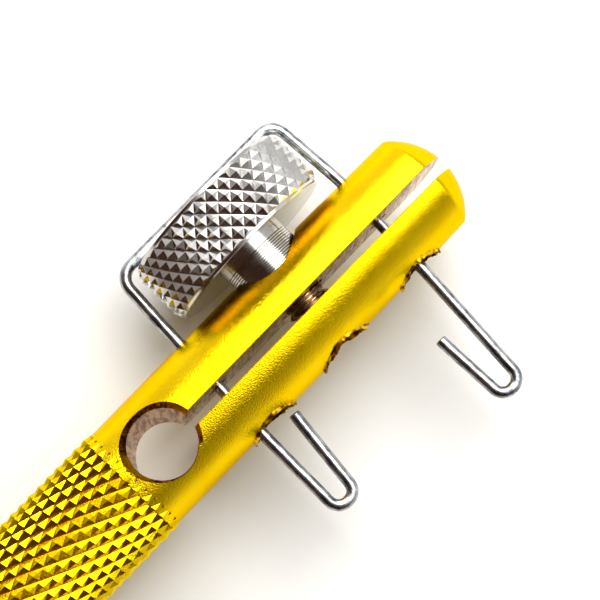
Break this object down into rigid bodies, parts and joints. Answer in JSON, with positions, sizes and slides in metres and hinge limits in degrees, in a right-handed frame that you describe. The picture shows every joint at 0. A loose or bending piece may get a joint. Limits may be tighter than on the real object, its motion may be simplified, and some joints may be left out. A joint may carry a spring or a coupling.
{
  "type": "fishing hook and line tying tool",
  "caption": "Slotted metal rod whose jaws close with a knurled thumb wheel, with a sliding wire bail that ends in J hooks, for holding a fish hook while tying line.",
  "frame": {"origin": "centre of the flat butt face of the rod", "axes": "+X along the rod towards the domed tip, +Y towards the thumb wheel, +Z along the depth of the slot"},
  "size_m": [0.118, 0.0366, 0.0198],
  "materials": {
    "gold_anodised_rod": "gold anodised, turned and polished, with a diamond-knurled grip",
    "gold_anodised_jaw": "gold anodised, turned and polished, with sawn inner faces",
    "nickel_wheel": "bright nickel plate, with a diamond-knurled rim",
    "steel_stud": "bright machine thread",
    "steel_wire": "drawn and zinc plated, slightly mottled"
  },
  "bodies": {
    "handle": {"rod_body": "gold_anodised_rod"},
    "jaw": {"clamp_jaw": "gold_anodised_jaw"},
    "screw": {"clamp_stud": "steel_stud"},
    "wheel": {"thumb_wheel": "nickel_wheel"},
    "bail": {"wire_bail": "steel_wire"}
  },
  "joints": [
    {"name": "screw_advance", "type": "slide", "parent": "handle", "child": "screw", "axis": [0, -1, 0], "range_m": [0, 0.0008]},
    {"name": "wheel_spin", "type": "hinge", "parent": "screw", "child": "wheel", "pos_m": [0.0985, 0.0108, 0], "axis": [0, -1, 0], "range_deg": [0, 320]},
    {"name": "jaw_flex", "type": "hinge", "parent": "handle", "child": "jaw", "pos_m": [0.0785, 0.0031, 0], "axis": [0, 0, -1], "range_deg": [0, 2.25]},
    {"name": "bail_slide", "type": "slide", "parent": "handle", "child": "bail", "axis": [0, 1, 0], "range_m": [0, 0.004]}
  ],
  "couplings": [
    {"joint": "screw_advance", "follows": "wheel_spin", "m_per_rad": 0.00012732},
    {"joint": "jaw_flex", "follows": "wheel_spin", "ratio": 0.006366}
  ]
}
